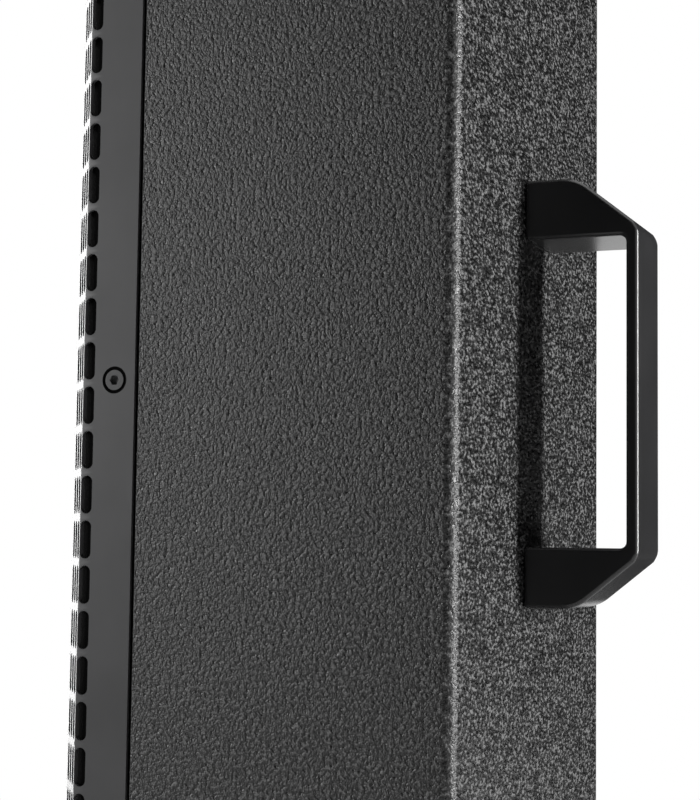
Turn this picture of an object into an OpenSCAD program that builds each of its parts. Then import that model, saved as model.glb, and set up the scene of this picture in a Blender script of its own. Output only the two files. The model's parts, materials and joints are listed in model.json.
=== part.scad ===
// Passive column loudspeaker: plywood cabinet, folded steel grille, rear bar handle,
// four woofers in a line and a horn-loaded driver at mid-height. Millimetres.
// X is the width, -Y the front with the grille, +Y the rear with the handle, Z is up.
// The origin lies under the middle of the whole box, on the surface that it stands on.

/* [Cabinet] */
// Outside width
cabinet_w = 200; // [194:1:206]
// Depth from the grille's flat front to the rear face
cabinet_d = 166.6; // [164:0.1:174]
// Height without the feet
cabinet_h = 720; // [716:1:736]
// Thickness of the plywood
wall = 15; // [14:0.5:16]
// Radius of the two rear corners
corner_r = 5; // [2:0.5:7]
// Height of the rubber feet
foot_h = 5; // [4:0.5:8]

/* [Grille] */
// Thickness of the steel sheet
sheet = 1.5; // [1.2:0.1:1.6]
// Length of each side flange, from the bend to its rear edge
flange_len = 22.4; // [20:0.1:24]
// Width of the open joint behind the flange
joint_gap = 1.6; // [1:0.1:2]
// Width of each corner slope, measured across the front
slope_w = 18.5; // [16:0.5:20]
// Depth of each corner slope, measured front to rear
slope_d = 14.5; // [12:0.5:16]
// Height from one slot to the next
slot_pitch = 17.2; // [17:0.1:17.5]
// Length of a slot
slot_len = 14.6; // [13:0.1:15]
// Width of a slot
slot_w = 4.9; // [4:0.1:5]
// Rows of slots
slot_rows = 38; // [36:2:38]
// Columns of slots across the flat front, fewer than the real sheet's 26
front_columns = 4; // [2:1:6]
// Thickness of the foam behind the sheet
foam = 4; // [3:0.5:5]

/* [Handle] */
// How far the handle stands out from the rear face
handle_out = 45.9; // [42:0.1:48]
// Width of the handle
handle_w = 36; // [32:1:38]
// Half of the handle's height
handle_half = 85; // [82:0.1:86]
// Half of the finger opening's height
grip_half = 61; // [58:0.5:62]
// Thickness of the bar
bar = 5; // [4:0.1:6]

/* [Woofers] */
// Outside radius of the basket's flange
basket_r = 66; // [65:0.5:66]
// Radius of the hole in the front baffle
cutout_r = 58; // [57.5:0.5:59]
// Distance from the cabinet's middle to the inner pair
inner_pair = 135; // [133:1:136]
// Distance from the cabinet's middle to the outer pair
outer_pair = 270; // [269:1:273]

/* [Stand and sockets] */
// Radius of the bore for a loudspeaker stand's pole
pole_r = 17.8; // [17.7:0.1:18]
// Depth of the pole bore
pole_depth = 80; // [60:1:84]
// Distance between the two connector sockets
socket_pitch = 44; // [40:1:50]
// Height of the connector plate's middle
plate_z = 130; // [120:1:140]

/* [Hidden] */
$fn = 48;

// Places measured along Y
rear_y = (cabinet_d - handle_out) / 2;
front_y = rear_y - cabinet_d;
bend_y = front_y + slope_d;
flange_y = bend_y + flange_len;
joint_y = flange_y + joint_gap;
baffle_y = front_y + 24;
rear_inner_y = rear_y - wall;

// Places measured along X and Z
half_w = cabinet_w / 2;
inner_w = half_w - wall;
low_z = foot_h;
top_z = foot_h + cabinet_h;
mid_z = foot_h + cabinet_h / 2;
inside_h = cabinet_h - 2 * wall;
rebate = sheet + 0.3;
grille_h = inside_h - 2;
screw_rise = 290;
slot_back = 2.5;
screw_y = flange_y - 8.8;
screw_z = mid_z + 0.9;
woofer_z = [mid_z - outer_pair, mid_z - inner_pair, mid_z + inner_pair, mid_z + outer_pair];

// Woofer, with its own axis along Z and the baffle's front face at 0
flange_t = 3;
gasket_t = 1;
flange_top = gasket_t + flange_t;
coil_r = 12.8;
cone_r = 43.5;
ledge_z = -22;
motor_r = 34;
motor_front = -37;
magnet_r = 36;
magnet_front = -41;
magnet_back = -53;
motor_back = -57;
bolt_r = 61.8;

// Horn, in the same local places
throat_r = 12.7;
mouth_r = 50;
throat_z = -38;
horn_w = 150;
horn_h = 128;
driver_bolt_x = 25;
driver_r = 34;
driver_plate_z = throat_z - 6;
driver_magnet_z = throat_z - 20;
driver_cover_z = throat_z - 34;

// Handle
handle_bolt_z = 72.5;
handle_bolt_x = 9;

// Pole socket, behind the lowest woofer
pole_y = rear_y - 50;
pole_flange_r = 38;
pole_bolt_r = 30;

// Connector plate, in millimetres across and up
plate_size = [112, 86];
plate_bolt_x = 49;
plate_bolt_z = 36;

// Threaded inserts for rigging, side by side in the top panel
rigging_x = 40;

// Crossover board
board_z = 226;
board_w = 120;
board_h = 90;
board_y = rear_inner_y - 8;

black_paint = [0.07, 0.07, 0.075];
steel_black = [0.1, 0.1, 0.105];
plywood = [0.62, 0.48, 0.32];
bare_metal = [0.6, 0.6, 0.62];
brass = [0.72, 0.56, 0.25];
dark_plastic = [0.05, 0.05, 0.05];
rubber = [0.04, 0.04, 0.04];
paper = [0.09, 0.09, 0.1];
ferrite = [0.12, 0.12, 0.13];

// ---- helpers ----

// Local Z turned to point out of the front, at height z on the baffle
module on_baffle(z) translate([0, baffle_y, z]) rotate([90, 0, 0]) children();

// Local Z turned to point out of the rear, starting at depth y
module towards_rear(x, y, z) translate([x, y, z]) rotate([-90, 0, 0]) children();

// A ring between two heights
module ring(outer, inner, z0, z1) {
  translate([0, 0, z0]) difference() {
    cylinder(r = outer, h = z1 - z0);
    translate([0, 0, -1]) cylinder(r = inner, h = z1 - z0 + 2);
  }
}

// A socket screw whose head rests on 0 and stands up, with its shank below
module socket_screw(shank_r, length, head_r, head_h) {
  difference() {
    union() {
      cylinder(r = head_r, h = head_h);
      translate([0, 0, -length]) cylinder(r = shank_r, h = length);
    }
    translate([0, 0, head_h * 0.45]) cylinder(r = head_r * 0.5, h = head_h, $fn = 6);
  }
}

// The screw that holds a woofer or the waveguide to the plywood
module wood_screw() socket_screw(2, 16, 3.6, 3);

// The cabinet's outline seen from above, with sloped front corners
module cabinet_outline() {
  polygon([
    [-half_w, bend_y], [-half_w + slope_w, front_y],
    [half_w - slope_w, front_y], [half_w, bend_y],
    [half_w, rear_y - corner_r], [half_w - corner_r, rear_y],
    [-half_w + corner_r, rear_y], [-half_w, rear_y - corner_r]
  ]);
  for (side = [-1, 1]) translate([side * (half_w - corner_r), rear_y - corner_r]) circle(r = corner_r);
}

// ---- cabinet ----

// One side panel seen from above, stepped back for the grille's flange
module side_outline() {
  polygon([
    [inner_w, rear_y], [inner_w, bend_y + 2.5],
    [half_w - rebate, bend_y + 2.5], [half_w - rebate, joint_y],
    [half_w, joint_y], [half_w, rear_y - corner_r],
    [half_w - corner_r, rear_y]
  ]);
  translate([half_w - corner_r, rear_y - corner_r]) circle(r = corner_r);
}

module side_panel() {
  difference() {
    translate([0, 0, low_z + wall]) linear_extrude(inside_h) side_outline();
    for (rise = [-screw_rise, 0, screw_rise])
      translate([inner_w + 3, screw_y, screw_z + rise]) rotate([0, 90, 0]) cylinder(r = 4.05, h = wall);
  }
}

module side_panel_left() color(black_paint) mirror([1, 0, 0]) side_panel();

module side_panel_right() color(black_paint) side_panel();

module top_panel() color(black_paint) difference() {
  translate([0, 0, top_z - wall]) linear_extrude(wall) cabinet_outline();
  for (side = [-1, 1])
    translate([side * rigging_x, pole_y, top_z - wall - 1]) cylinder(r = 6.05, h = wall + 2);
}

module bottom_panel() color(black_paint) difference() {
  translate([0, 0, low_z]) linear_extrude(wall) cabinet_outline();
  translate([0, pole_y, low_z - 1]) cylinder(r = 21.5, h = wall + 2);
  translate([0, pole_y, low_z - 1]) cylinder(r = pole_flange_r + 0.3, h = 4.2);
  for (turn = [45:90:315])
    translate([0, pole_y, low_z]) rotate(turn) translate([pole_bolt_r, 0, 0]) cylinder(r = 2.1, h = 12);
  for (place = foot_places()) translate([place[0], place[1], low_z - 1]) cylinder(r = 1.85, h = 12);
}

module rear_panel() color(black_paint) difference() {
  translate([-inner_w, rear_inner_y, low_z + wall]) cube([2 * inner_w, wall, inside_h]);
  for (side = [-1, 1]) {
    towards_rear(side * socket_pitch / 2, rear_inner_y - 1, plate_z) cylinder(r = 15, h = wall + 2);
    for (rise = [-handle_bolt_z, handle_bolt_z])
      towards_rear(side * handle_bolt_x, rear_inner_y - 1, mid_z + rise) cylinder(r = 3.3, h = wall + 2);
    for (rise = [-plate_bolt_z, plate_bolt_z])
      towards_rear(side * plate_bolt_x, rear_y - 10, plate_z + rise) cylinder(r = 1.85, h = 11);
  }
}

module front_baffle() color(plywood) difference() {
  translate([-inner_w, baffle_y, low_z + wall]) cube([2 * inner_w, wall, inside_h]);
  for (z = concat(woofer_z, [mid_z]))
    on_baffle(z) translate([0, 0, -wall - 1]) cylinder(r = cutout_r, h = wall + 2);
  for (z = woofer_z) on_baffle(z) woofer_bolts() translate([0, 0, -14]) cylinder(r = 2.1, h = 15);
  on_baffle(mid_z) horn_bolts() translate([0, 0, -14]) cylinder(r = 2.1, h = 15);
}

// Two plates with a window each, between the inner and the outer pair
module braces() color(plywood)
  for (side = [-1, 1]) translate([0, 0, mid_z + side * (inner_pair + outer_pair) / 2]) difference() {
    translate([-inner_w, baffle_y + wall, -6]) cube([2 * inner_w, rear_inner_y - baffle_y - wall, 12]);
    translate([-55, baffle_y + wall + 20, -7]) cube([110, rear_inner_y - baffle_y - wall - 40, 14]);
  }

// Wadding on the inside of the side panels, in the three rooms between the braces
module wadding_pads() color([0.75, 0.75, 0.72]) {
  brace_z = (inner_pair + outer_pair) / 2;
  end_h = inside_h / 2 - brace_z - 8;
  for (side = [-1, 1]) {
    for (room = [[-inside_h / 2 + 1, end_h], [-brace_z + 7, 2 * brace_z - 14], [brace_z + 7, end_h]])
      translate([side * (inner_w - 6.2) - 6, baffle_y + wall + 2, mid_z + room[0]])
        cube([12, rear_inner_y - baffle_y - wall - 4, room[1]]);
  }
}

// ---- grille ----

// The sheet's section seen from above: flange, slope, flat front, slope, flange
module sheet_section() {
  step_w = sheet * 0.34;
  step_d = sheet * 0.46;
  polygon([
    [half_w, flange_y], [half_w, bend_y], [half_w - slope_w, front_y],
    [-half_w + slope_w, front_y], [-half_w, bend_y], [-half_w, flange_y],
    [-half_w + sheet, flange_y], [-half_w + sheet, bend_y + step_d],
    [-half_w + slope_w + step_w, front_y + sheet],
    [half_w - slope_w - step_w, front_y + sheet],
    [half_w - sheet, bend_y + step_d], [half_w - sheet, flange_y]
  ]);
}

// One upright slot, drawn about its middle
module slot_shape() {
  square([slot_w, slot_len - slot_w], center = true);
  for (end = [-1, 1]) translate([0, end * (slot_len - slot_w) / 2]) circle(d = slot_w, $fn = 16);
}

function row_z(row) = mid_z + (row - (slot_rows - 1) / 2) * slot_pitch;

module grille_sheet() color(steel_black) {
  slope_turn = atan2(slope_w, slope_d);
  column_gap = (cabinet_w - 2 * slope_w) / front_columns;
  difference() {
    translate([0, 0, mid_z - grille_h / 2]) linear_extrude(grille_h) sheet_section();
    for (row = [0:slot_rows - 1]) translate([0, 0, row_z(row)]) {
      for (column = [0:front_columns - 1])
        translate([(column - (front_columns - 1) / 2) * column_gap, front_y + 3, 0])
          rotate([90, 0, 0]) linear_extrude(5) slot_shape();
      for (side = [-1, 1]) {
        translate([side * (half_w - 3), bend_y + slot_back, 0])
          rotate([90, 0, 90]) linear_extrude(8, center = true) slot_shape();
        translate([side * (half_w - slope_w / 2), bend_y - slope_d / 2, 0])
          rotate([90, 0, side * slope_turn]) linear_extrude(8, center = true) slot_shape();
      }
    }
    for (rise = [-screw_rise, 0, screw_rise], side = [0, 1]) mirror([side, 0, 0])
      translate([half_w, screw_y, screw_z + rise]) rotate([0, -90, 0]) translate([0, 0, -0.01])
        cylinder(r1 = 5.26, r2 = 3.74, h = sheet + 0.02);
  }
}

// Foam sheet behind the slots, over the front and the slopes
module grille_foam() color([0.03, 0.03, 0.03])
  translate([0, 0, mid_z - grille_h / 2]) linear_extrude(grille_h) {
    outer_x = half_w - slope_w - sheet;
    polygon([
      [-outer_x - 10, front_y + sheet + 9], [-outer_x, front_y + sheet + 0.3],
      [outer_x, front_y + sheet + 0.3], [outer_x + 10, front_y + sheet + 9],
      [outer_x + 10, front_y + sheet + 9 + foam], [outer_x - 1, front_y + sheet + 0.3 + foam],
      [-outer_x + 1, front_y + sheet + 0.3 + foam], [-outer_x - 10, front_y + sheet + 9 + foam]
    ]);
  }

// Countersunk socket screws through the flanges
module grille_screws() color(steel_black)
  for (rise = [-screw_rise, 0, screw_rise], side = [0, 1]) mirror([side, 0, 0])
    translate([half_w - 0.1, screw_y, screw_z + rise]) rotate([0, -90, 0]) difference() {
      union() {
        cylinder(r1 = 4.5, r2 = 2.5, h = 2.25);
        cylinder(r = 2.5, h = 11);
      }
      translate([0, 0, -1]) cylinder(r = 1.73, h = 3, $fn = 6);
    }

module grille_inserts() color(brass)
  for (rise = [-screw_rise, 0, screw_rise], side = [0, 1]) mirror([side, 0, 0])
    translate([inner_w + 3, screw_y, screw_z + rise]) rotate([0, 90, 0]) ring(4, 2.55, 0, 9);

// ---- handle ----

// Upper half of the handle's side view, drawn in depth and height
function handle_outer() = [
  [0, handle_half],
  [15, handle_half],
  for (turn = [80:-7:52]) [15 + 17 * cos(turn), handle_half - 17 + 17 * sin(turn)],
  [handle_out - 1.8, grip_half + 5.4],
  [handle_out, grip_half + 2.3]
];

// Upper half of the finger opening, with a rounded corner under the bar
function handle_opening() = [
  [-1, grip_half],
  for (turn = [90:-30:0]) [
    handle_out - bar - 2.5 + 2.5 * cos(turn),
    grip_half - 2.5 + 2.5 * sin(turn)
  ]
];

function with_lower_half(points) =
  concat(points, [for (i = [len(points) - 1:-1:0]) [points[i][0], -points[i][1]]]);

module at_handle_bolts(y)
  for (side = [-1, 1], rise = [-handle_bolt_z, handle_bolt_z])
    towards_rear(side * handle_bolt_x, y, mid_z + rise) children();

module handle() color(dark_plastic) difference() {
  translate([-handle_w / 2, rear_y, mid_z]) rotate([90, 0, 90]) linear_extrude(handle_w)
    difference() {
      polygon(with_lower_half(handle_outer()));
      polygon(with_lower_half(handle_opening()));
    }
  at_handle_bolts(rear_y - 1) cylinder(r = 4.05, h = 15);
}

module handle_inserts() color(brass) at_handle_bolts(rear_y) ring(4, 3.05, 0, 12);

// Bolts from inside the cabinet, heads against the rear panel's inner face
module handle_screws() color(bare_metal)
  at_handle_bolts(rear_inner_y) mirror([0, 0, 1]) socket_screw(3, wall + 11, 5, 5);

// ---- woofers ----

module woofer_bolts() for (turn = [45:90:315]) rotate(turn) translate([bolt_r, 0, 0]) children();

// Pressed basket: flange, sloping wall with six windows, a ledge and the rear plate
module basket(z) color(steel_black) on_baffle(z) difference() {
  rotate_extrude() polygon([
    [basket_r, gasket_t], [basket_r, flange_top], [54, flange_top], [54, 0],
    [43.4, ledge_z], [36, ledge_z], [36, ledge_z - 2], [42.4, ledge_z - 2],
    [37.5, motor_front + 3], [17, motor_front + 3], [17, motor_front], [40, motor_front], [57.3, gasket_t]
  ]);
  for (turn = [0:60:300]) rotate(turn) translate([30, -11, -20]) cube([40, 22, 16]);
  woofer_bolts() translate([0, 0, -1]) cylinder(r = 2.3, h = 8);
}

// Front plate, ferrite ring, and back plate with its pole
module motor(z) on_baffle(z) {
  color(bare_metal) ring(motor_r, coil_r + 0.9, magnet_front, motor_front);
  color(ferrite) ring(magnet_r, 17, magnet_back, magnet_front);
  color(bare_metal) {
    translate([0, 0, motor_back]) cylinder(r = motor_r, h = magnet_back - motor_back);
    translate([0, 0, magnet_back]) cylinder(r = coil_r - 1, h = magnet_front - magnet_back + 5);
  }
}

// Dust cap as a thin dome between the cone's throat and its middle
function cap_arc(radius, rise) = [
  for (turn = [0:15:90]) [radius * cos(turn), rise * sin(turn)]
];

// Paper cone with its coil former, the winding at the former's end, and the dust cap
module cone(z) color(paper) on_baffle(z) {
  rotate_extrude() polygon([
    [cone_r + 3, 3], [cone_r + 3, 4], [cone_r, 4], [coil_r, -16.5],
    [coil_r - 0.6, -16.5], [coil_r - 0.6, -42], [coil_r, -42], [coil_r, -18], [cone_r + 0.5, 3]
  ]);
  ring(coil_r + 0.5, coil_r, -42, -34);
  translate([0, 0, -12.6]) rotate_extrude()
    polygon(concat(cap_arc(18.9, 8), [for (i = [6:-1:0]) cap_arc(18, 7.2)[i]]));
}

// Half-roll of rubber from the cone's edge to the basket's flange
module surround(z) color(rubber) on_baffle(z) translate([0, 0, flange_top + 0.3]) rotate_extrude()
  translate([50.2, 0]) polygon(concat(
    [[7, 0.7], [4.6, 0.7]],
    [for (turn = [10:20:170]) [4.4 * cos(turn), 4.4 * sin(turn)]],
    [[-4.6, 0.7], [-7, 0.7], [-7, 0], [-3.7, 0]],
    [for (turn = [150:-20:30]) [3.6 * cos(turn), 3.6 * sin(turn)]],
    [[3.7, 0], [7, 0]]
  ));

// Corrugated disc that centres the coil, glued to the basket's ledge
module spider(z) color([0.6, 0.42, 0.2]) on_baffle(z) translate([0, 0, ledge_z]) rotate_extrude() {
  waves = [for (r = [coil_r + 0.3:1.5:36]) [r, 0.8 + 0.8 * sin((r - coil_r) * 60)]];
  back = [for (i = [len(waves) - 1:-1:0]) [waves[i][0], waves[i][1] - 0.5]];
  polygon(concat(waves, [[42.8, 0.5], [42.8, 0]], [[36, 0]], back));
}

module woofer_gaskets() color(rubber)
  for (z = woofer_z) on_baffle(z) difference() {
    ring(basket_r - 0.5, cutout_r + 0.5, 0, gasket_t);
    woofer_bolts() translate([0, 0, -1]) cylinder(r = 2.1, h = 3);
  }

module woofer_screws() color(bare_metal)
  for (z = woofer_z) on_baffle(z) woofer_bolts()
    translate([0, 0, flange_top]) wood_screw();

module basket_1() basket(woofer_z[0]);
module basket_2() basket(woofer_z[1]);
module basket_3() basket(woofer_z[2]);
module basket_4() basket(woofer_z[3]);
module motor_1() motor(woofer_z[0]);
module motor_2() motor(woofer_z[1]);
module motor_3() motor(woofer_z[2]);
module motor_4() motor(woofer_z[3]);
module cone_1() cone(woofer_z[0]);
module cone_2() cone(woofer_z[1]);
module cone_3() cone(woofer_z[2]);
module cone_4() cone(woofer_z[3]);
module surround_1() surround(woofer_z[0]);
module surround_2() surround(woofer_z[1]);
module surround_3() surround(woofer_z[2]);
module surround_4() surround(woofer_z[3]);
module spider_1() spider(woofer_z[0]);
module spider_2() spider(woofer_z[1]);
module spider_3() spider(woofer_z[2]);
module spider_4() spider(woofer_z[3]);

// ---- horn ----

module horn_bolts()
  for (side = [-1, 1], rise = [-1, 1])
    translate([side * (horn_w / 2 - 9), rise * (horn_h / 2 - 9), 0]) children();

function flare(z) = throat_r * pow(mouth_r / throat_r, (z - throat_z) / (4 - throat_z));

// Mounting plate with a round flare that opens from the throat to the mouth
module waveguide() color(dark_plastic) on_baffle(mid_z) {
  difference() {
    union() {
      difference() {
        translate([-horn_w / 2, -horn_h / 2, 0]) cube([horn_w, horn_h, 4]);
        translate([0, 0, -1]) cylinder(r = mouth_r + 2, h = 6);
      }
      rotate_extrude() polygon(concat(
        [for (z = [throat_z:6:4]) [flare(z), z]],
        [[mouth_r + 5, 4], [mouth_r + 5, 0]],
        [for (z = [-2:-6:throat_z + 4]) [flare(z) + 4.5, z]],
        [[flare(throat_z + 4) + 4.5, throat_z + 3], [30, throat_z + 3], [30, throat_z]]
      ));
    }
    horn_bolts() translate([0, 0, -1]) cylinder(r = 2.3, h = 6);
    for (side = [-1, 1]) translate([side * driver_bolt_x, 0, throat_z - 1]) cylinder(r = 2.6, h = 6);
  }
}

module waveguide_screws() color(bare_metal) on_baffle(mid_z) {
  horn_bolts() translate([0, 0, 4]) wood_screw();
  for (side = [-1, 1]) translate([side * driver_bolt_x, 0, throat_z + 3]) socket_screw(2.5, 7, 4, 3);
}

// Front plate of the driver, bolted to the throat's flange
module horn_driver_plate() color(bare_metal) on_baffle(mid_z) difference() {
  ring(driver_r - 2, throat_r, driver_plate_z, throat_z);
  for (side = [-1, 1]) translate([side * driver_bolt_x, 0, driver_plate_z - 1]) cylinder(r = 2.6, h = 8);
}

module horn_driver_magnet() color(ferrite) on_baffle(mid_z)
  ring(driver_r + 6, 20, driver_magnet_z, driver_plate_z);

// Round cap over the diaphragm
module horn_driver_cover() color(dark_plastic) on_baffle(mid_z) difference() {
  translate([0, 0, driver_cover_z]) cylinder(r = driver_r, h = driver_magnet_z - driver_cover_z);
  translate([0, 0, driver_cover_z + 2]) cylinder(r = driver_r - 2, h = driver_magnet_z - driver_cover_z);
}

// Thin metal dome with a flat rim, facing the throat
module horn_diaphragm() color([0.7, 0.7, 0.72]) on_baffle(mid_z)
  translate([0, 0, driver_magnet_z - 2]) rotate_extrude()
    polygon(concat(
      [[24, 0], [24, 0.5]], cap_arc(17, 7), [for (i = [6:-1:1]) cap_arc(16.4, 6.4)[i]], [[16.4, 0]]
    ));

// ---- crossover ----

module board_places()
  for (side = [-1, 1], rise = [-1, 1])
    translate([side * (board_w / 2 - 7), 0, board_z + rise * (board_h / 2 - 7)]) children();

module crossover_board() color([0.05, 0.25, 0.12]) difference() {
  translate([-board_w / 2, board_y - 1.6, board_z - board_h / 2]) cube([board_w, 1.6, board_h]);
  board_places() towards_rear(0, board_y - 3, 0) cylinder(r = 1.8, h = 4);
}

module board_spacers() color(brass) board_places() towards_rear(0, board_y, 0) ring(4, 1.5, 0, 8);

// Two air-cored coils, one large and one small
module inductors() color([0.7, 0.38, 0.2])
  for (coil = [[-30, 18, 15, 24], [24, 24, 12, 16]])
    towards_rear(coil[0], board_y - 1.6 - coil[3], board_z + coil[1]) ring(coil[2], 6, 0, coil[3]);

module capacitors() color([0.75, 0.7, 0.5])
  for (can = [[-40, -22, 9], [0, -22, 9], [34, -8, 7]])
    translate([can[0] - 15, board_y - 1.6 - can[2], board_z + can[1]]) rotate([0, 90, 0])
      cylinder(r = can[2], h = 30);

// ---- connectors ----

module plate_blank(out, thickness)
  translate([-plate_size[0] / 2, rear_y + out, plate_z - plate_size[1] / 2])
    cube([plate_size[0], thickness, plate_size[1]]);

module connector_plate() color(steel_black) difference() {
  plate_blank(1, 2);
  for (side = [-1, 1]) towards_rear(side * socket_pitch / 2, rear_y, plate_z) cylinder(r = 12.3, h = 4);
  at_plate_screws() cylinder(r = 2.1, h = 4);
}

module at_plate_screws()
  for (side = [-1, 1], rise = [-plate_bolt_z, plate_bolt_z])
    towards_rear(side * plate_bolt_x, rear_y, plate_z + rise) children();

module plate_gasket() color(rubber) difference() {
  plate_blank(0, 1);
  for (side = [-1, 1]) towards_rear(side * socket_pitch / 2, rear_y - 1, plate_z) cylinder(r = 14, h = 4);
  at_plate_screws() translate([0, 0, -1]) cylinder(r = 2.1, h = 4);
}

module plate_screws() color(bare_metal) at_plate_screws() translate([0, 0, 3]) socket_screw(1.75, 12, 3.4, 2);

// Round locking socket: a square flange, a barrel and a bore with contact slots in its floor
module speaker_socket(side) color(dark_plastic)
  towards_rear(side * socket_pitch / 2, rear_y + 3, plate_z) difference() {
    union() {
      translate([-14, -16, 0]) cube([28, 32, 2.5]);
      translate([0, 0, -24]) cylinder(r = 12, h = 25);
    }
    translate([0, 0, -18]) cylinder(r = 10, h = 24);
    for (turn = [45:90:315]) rotate(turn) translate([4.5, -0.6, -21]) cube([3, 1.2, 4]);
  }

module socket_in() speaker_socket(-1);
module socket_out() speaker_socket(1);

// ---- stand, rigging and feet ----

// Pole socket let into the bottom panel, with a closed upper end
module pole_socket() color(steel_black) translate([0, pole_y, low_z]) difference() {
  union() {
    cylinder(r = pole_flange_r, h = 3);
    cylinder(r = 21, h = pole_depth + 3);
  }
  translate([0, 0, -1]) cylinder(r = pole_r, h = pole_depth + 1);
  for (turn = [45:90:315]) rotate(turn) translate([pole_bolt_r, 0, -1]) cylinder(r = 2.1, h = 5);
}

// The screws' heads stand below the flange, inside the height of the feet
module pole_socket_screws() color(bare_metal)
  for (turn = [45:90:315]) translate([0, pole_y, low_z]) rotate(turn) translate([pole_bolt_r, 0, 0])
    mirror([0, 0, 1]) socket_screw(2, 11, 3.4, 2.2);

module rigging_inserts() color(brass)
  for (side = [-1, 1]) translate([side * rigging_x, pole_y, top_z - wall]) ring(6, 3.4, 0, wall);

function foot_places() = [
  for (side = [-1, 1], y = [front_y + 30, rear_y - 18]) [side * (half_w - 22), y]
];

module rubber_feet() color(rubber)
  for (place = foot_places()) translate([place[0], place[1], 0]) difference() {
    cylinder(r1 = 9, r2 = 11, h = foot_h);
    translate([0, 0, -1]) cylinder(r = 2, h = foot_h + 2);
    translate([0, 0, -1]) cylinder(r = 4.2, h = foot_h - 1);
  }

module foot_screws() color(bare_metal)
  for (place = foot_places()) translate([place[0], place[1], foot_h - 2])
    mirror([0, 0, 1]) socket_screw(1.75, 11, 3.6, 2);

side_panel_left();
side_panel_right();
top_panel();
bottom_panel();
rear_panel();
front_baffle();
braces();
wadding_pads();
grille_sheet();
grille_foam();
grille_screws();
grille_inserts();
handle();
handle_inserts();
handle_screws();
basket_1();
basket_2();
basket_3();
basket_4();
motor_1();
motor_2();
motor_3();
motor_4();
cone_1();
cone_2();
cone_3();
cone_4();
surround_1();
surround_2();
surround_3();
surround_4();
spider_1();
spider_2();
spider_3();
spider_4();
woofer_gaskets();
woofer_screws();
waveguide();
waveguide_screws();
horn_driver_plate();
horn_driver_magnet();
horn_driver_cover();
horn_diaphragm();
crossover_board();
board_spacers();
inductors();
capacitors();
connector_plate();
plate_gasket();
plate_screws();
socket_in();
socket_out();
pole_socket();
pole_socket_screws();
rigging_inserts();
rubber_feet();
foot_screws();
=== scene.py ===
import json
import math
import bpy
from mathutils import Euler, Matrix, Vector


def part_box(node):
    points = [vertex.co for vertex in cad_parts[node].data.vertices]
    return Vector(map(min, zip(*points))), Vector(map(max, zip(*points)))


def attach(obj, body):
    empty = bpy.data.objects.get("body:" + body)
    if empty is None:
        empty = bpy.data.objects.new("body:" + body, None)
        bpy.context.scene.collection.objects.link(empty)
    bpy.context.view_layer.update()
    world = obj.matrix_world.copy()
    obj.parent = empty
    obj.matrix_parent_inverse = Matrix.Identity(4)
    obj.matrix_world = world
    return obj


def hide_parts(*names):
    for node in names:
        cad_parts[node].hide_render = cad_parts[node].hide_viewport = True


# Column loudspeaker, seen from its right rear side. Metres; the front is -Y, the rear +Y.
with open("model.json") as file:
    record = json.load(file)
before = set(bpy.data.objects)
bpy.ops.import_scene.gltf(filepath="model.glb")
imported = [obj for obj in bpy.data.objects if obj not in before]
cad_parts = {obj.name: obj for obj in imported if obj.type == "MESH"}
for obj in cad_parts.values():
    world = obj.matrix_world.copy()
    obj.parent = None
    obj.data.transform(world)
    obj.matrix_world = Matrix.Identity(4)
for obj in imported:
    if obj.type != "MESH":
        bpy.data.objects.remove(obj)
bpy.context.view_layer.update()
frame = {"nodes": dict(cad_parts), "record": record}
scene = bpy.context.scene
mm = 0.001

grilleLow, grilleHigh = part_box("grille_sheet")
handleLow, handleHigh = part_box("handle")
topLow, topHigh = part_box("top_panel")
bottomLow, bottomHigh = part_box("bottom_panel")
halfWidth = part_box("side_panel_right")[1].x
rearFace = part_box("rear_panel")[1].y
frontFace = grilleLow.y
midHeight = (handleLow.z + handleHigh.z) / 2
screwY = (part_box("grille_screws")[0].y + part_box("grille_screws")[1].y) / 2
past = 1 * mm            # how far a cutter runs on beyond the face it cuts


def deselectAll():
    if bpy.context.object and bpy.context.object.mode != "OBJECT":
        bpy.ops.object.mode_set(mode="OBJECT")
    bpy.ops.object.select_all(action="DESELECT")


def activate(piece):
    deselectAll()
    piece.select_set(True)
    bpy.context.view_layer.objects.active = piece


def startPiece(name):  # the primitive that was just added takes its name
    piece = bpy.context.object
    piece.name = name
    piece.data.name = name
    return piece


def pick(piece, kind, test):  # selects vertices, edges or faces in edit mode by a test
    bpy.ops.object.mode_set(mode="EDIT")
    bpy.ops.mesh.select_mode(type={"verts": "VERT", "edges": "EDGE", "faces": "FACE"}[kind])
    bpy.ops.mesh.select_all(action="DESELECT")
    bpy.ops.object.mode_set(mode="OBJECT")
    mesh = piece.data
    for part in {"verts": mesh.vertices, "edges": mesh.edges, "faces": mesh.polygons}[kind]:
        if kind == "verts":
            part.select = test(part.co)
        elif kind == "edges":
            part.select = test(*[mesh.vertices[i].co for i in part.vertices])
        else:
            part.select = test(part.center, part.normal)
    bpy.ops.object.mode_set(mode="EDIT")


def addModifier(piece, kind, **settings):  # adds a modifier and applies it at once
    activate(piece)
    made = piece.modifiers.new(kind.title(), kind)
    for key, value in settings.items():
        setattr(made, key, value)
    bpy.ops.object.modifier_apply(modifier=made.name)


def bevelEdges(piece, width, segments=2, angle=50):
    addModifier(piece, "BEVEL", width=width, segments=segments, limit_method="ANGLE",
                angle_limit=math.radians(angle))


def cutAway(piece, cutter, operation="DIFFERENCE"):
    addModifier(piece, "BOOLEAN", operation=operation, object=cutter, solver="EXACT")
    bpy.data.objects.remove(cutter)


def addOn(piece, other):
    cutAway(piece, other, "UNION")


def joinAll(pieces):
    activate(pieces[0])
    for other in pieces[1:]:
        other.select_set(True)
    if len(pieces) > 1:
        bpy.ops.object.join()
    return pieces[0]


def copyOf(piece):
    twin = piece.copy()
    twin.data = piece.data.copy()
    scene.collection.objects.link(twin)
    return twin


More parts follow.
